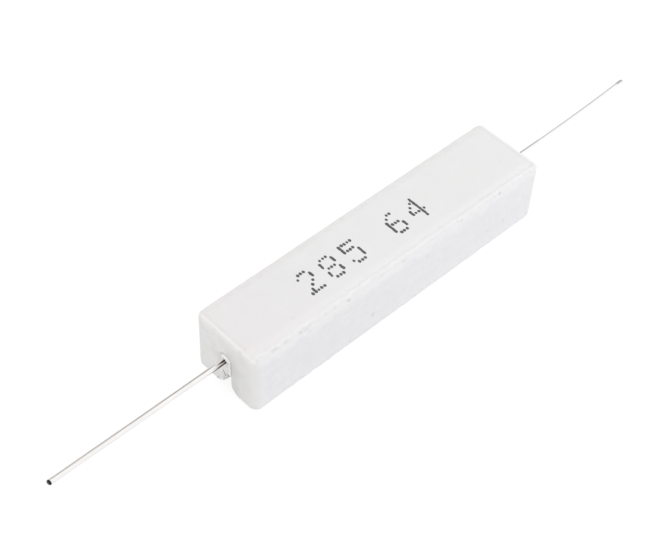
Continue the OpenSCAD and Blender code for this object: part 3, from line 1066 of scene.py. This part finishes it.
class RESISTOR_OT_stage(bpy.types.Operator):
    """Sets up the pale floor, the soft light, the white surround and the camera"""

    bl_idname = "resistor.stage"
    bl_label = "Stage"

    def execute(self, context):
        look = settings("stage")
        context.scene.view_settings.view_transform = "Standard"
        self.floor(look)
        self.surround(look)
        self.lamp("overhead_lamp", look.top_lamp, size=0.5, place=(0.05, -0.05, 0.6), tint=WHITE[:3])
        self.lamp(
            "side_lamp", look.side_lamp, size=0.15, place=(0.1, -0.12, 0.05), tint=(0.96, 0.96, 1.08)
        )
        self.shaded_card(look)
        self.camera(look)
        return {"FINISHED"}

    def floor(self, look):
        """A pale floor that shows white, with its shadow, and throws back less light."""
        f = Finish("pale_floor")
        camera = f.node("LightPath", output="Is Camera Ray")
        # In reflections it shows half as white or more
        mirrored = camera.beside("Is Glossy Ray") * (f.x.ramp(0.0, 40.0) * 0.5 + 0.5)
        seen = (camera + mirrored + camera.beside("Is Transmission Ray")).clamped()
        solid = f.node("BsdfDiffuse", values={"Color": (*[look.floor_shade] * 3, 1.0)})
        shadow = f.node("BsdfDiffuse", values={"Color": (0.18, 0.18, 0.18, 1.0)})
        glow = f.node("Emission", values={"Color": WHITE, "Strength": 0.86})
        white = f.node("AddShader", values={0: shadow, 1: glow})
        material = f.end(f.node("MixShader", values={0: seen, 1: solid, 2: white}))
        bm = bmesh.new()
        bmesh.ops.create_grid(bm, x_segments=1, y_segments=1, size=look.floor_size / 2)
        placed("floor", bm, [material])

    def surround(self, look):
        """Even light from all round, which shows white to the camera and in reflections."""
        world = bpy.data.worlds.new("white_surround")
        bpy.context.scene.world = world
        world.use_nodes = True
        nodes = Nodes(world.node_tree)
        camera = nodes.node("LightPath", output="Is Camera Ray")
        seen = (camera + camera.beside("Is Glossy Ray")).clamped()
        strength = nodes.node("MapRange", values={"Value": seen, "To Min": look.sky, "To Max": 1.0})
        sky = nodes.node("Background", values={"Color": WHITE, "Strength": strength})
        nodes.node("OutputWorld", values={"Surface": sky})

    def shaded_card(self, look):
        """A card behind the object, darkest low down, that only shows on the bright metal."""
        f = Finish("shaded_card")
        # It is darkest beside the object and neutral where the far lead mirrors it
        low = f.blend(f.x.ramp(110.0, 150.0), (0.62, 0.59, 0.56), (0.62, 0.62, 0.615))
        low = f.blend(f.x.bump_at(110.0, 90.0), low, look.card_low)
        colour = f.blend(f.z.ramp(150.0, 1200.0), low, (0.88, 0.87, 0.86))
        material = f.end(f.node("Emission", values={"Color": colour, "Strength": 1.0}))
        length, height = 3.0, 1.2
        upright = Euler((math.radians(90), 0, 0)).to_matrix()
        bm = bmesh.new()
        bmesh.ops.create_grid(bm, x_segments=1, y_segments=1, size=0.5)
        bmesh.ops.rotate(bm, verts=bm.verts, cent=(0, 0, 0), matrix=upright)
        bmesh.ops.scale(bm, vec=(length, 1.0, height), verts=bm.verts)
        bmesh.ops.translate(bm, vec=(0.3, 0.2, height / 2), verts=bm.verts)
        card = placed("shaded_card", bm, [material])
        card.visible_camera = card.visible_diffuse = card.visible_shadow = False

    def lamp(self, name, power, size, place, tint):
        """A square lamp that points at the object and shows neither itself nor its reflection."""
        data = bpy.data.lights.new(name, "AREA")
        data.color = tint
        data.energy = power
        data.size = size
        lamp = bpy.data.objects.new(name, data)
        bpy.context.scene.collection.objects.link(lamp)
        lamp.location = place
        lamp.rotation_euler = (-Vector(place)).to_track_quat("-Z", "Y").to_euler()
        lamp.visible_camera = lamp.visible_glossy = False

    def camera(self, look):
        scene = bpy.context.scene
        camera = bpy.data.objects.new("photo_camera", bpy.data.cameras.new("photo_camera"))
        scene.collection.objects.link(camera)
        camera.data.sensor_width = 36.0
        camera.data.lens = look.lens
        camera.data.clip_start, camera.data.clip_end = 0.001, 20.0
        camera.location = Vector(CAMERA_PLACE) * MM
        camera.rotation_euler = Euler([math.radians(a) for a in CAMERA_TURN])
        scene.camera = camera


class RESISTOR_PT_panel(bpy.types.Panel):
    bl_label = "Cement Resistor"
    bl_idname = "RESISTOR_PT_panel"
    bl_space_type = "VIEW_3D"
    bl_region_type = "UI"
    bl_category = "Resistor"

    def draw(self, context):
        for group, steps in PANEL_ROWS:
            box = self.layout.box()
            values = settings(group)
            for name in values.bl_rna.properties.keys():
                if name not in ("name", "rna_type"):
                    box.prop(values, name)
            for step in steps:
                box.operator(step)


GROUPS = {
    "case": CaseSettings,
    "cement": CementSettings,
    "leads": LeadSettings,
    "print": PrintSettings,
    "stage": StageSettings,
}
OPERATORS = (
    RESISTOR_OT_ceramic_case,
    RESISTOR_OT_cement,
    RESISTOR_OT_leads,
    RESISTOR_OT_printed_digits,
    RESISTOR_OT_inner_parts,
    RESISTOR_OT_stage,
)
PANEL_ROWS = (
    ("case", ("resistor.ceramic_case",)),
    ("cement", ("resistor.cement", "resistor.inner_parts")),
    ("leads", ("resistor.leads",)),
    ("print", ("resistor.printed_digits",)),
    ("stage", ("resistor.stage",)),
)


def register():
    for cls in (*GROUPS.values(), *OPERATORS, RESISTOR_PT_panel):
        bpy.utils.register_class(cls)
    for name, group in GROUPS.items():
        setattr(bpy.types.Scene, "resistor_" + name, PointerProperty(type=group))


def unregister():
    for name in GROUPS:
        delattr(bpy.types.Scene, "resistor_" + name)
    for cls in (RESISTOR_PT_panel, *OPERATORS[::-1], *GROUPS.values()):
        bpy.utils.unregister_class(cls)


def main():
    register()
    for operator in OPERATORS:
        category, name = operator.bl_idname.split(".")
        if getattr(getattr(bpy.ops, category), name)() != {"FINISHED"}:
            raise RuntimeError(operator.bl_label + " was not finished")


if __name__ == "__main__":
    main()
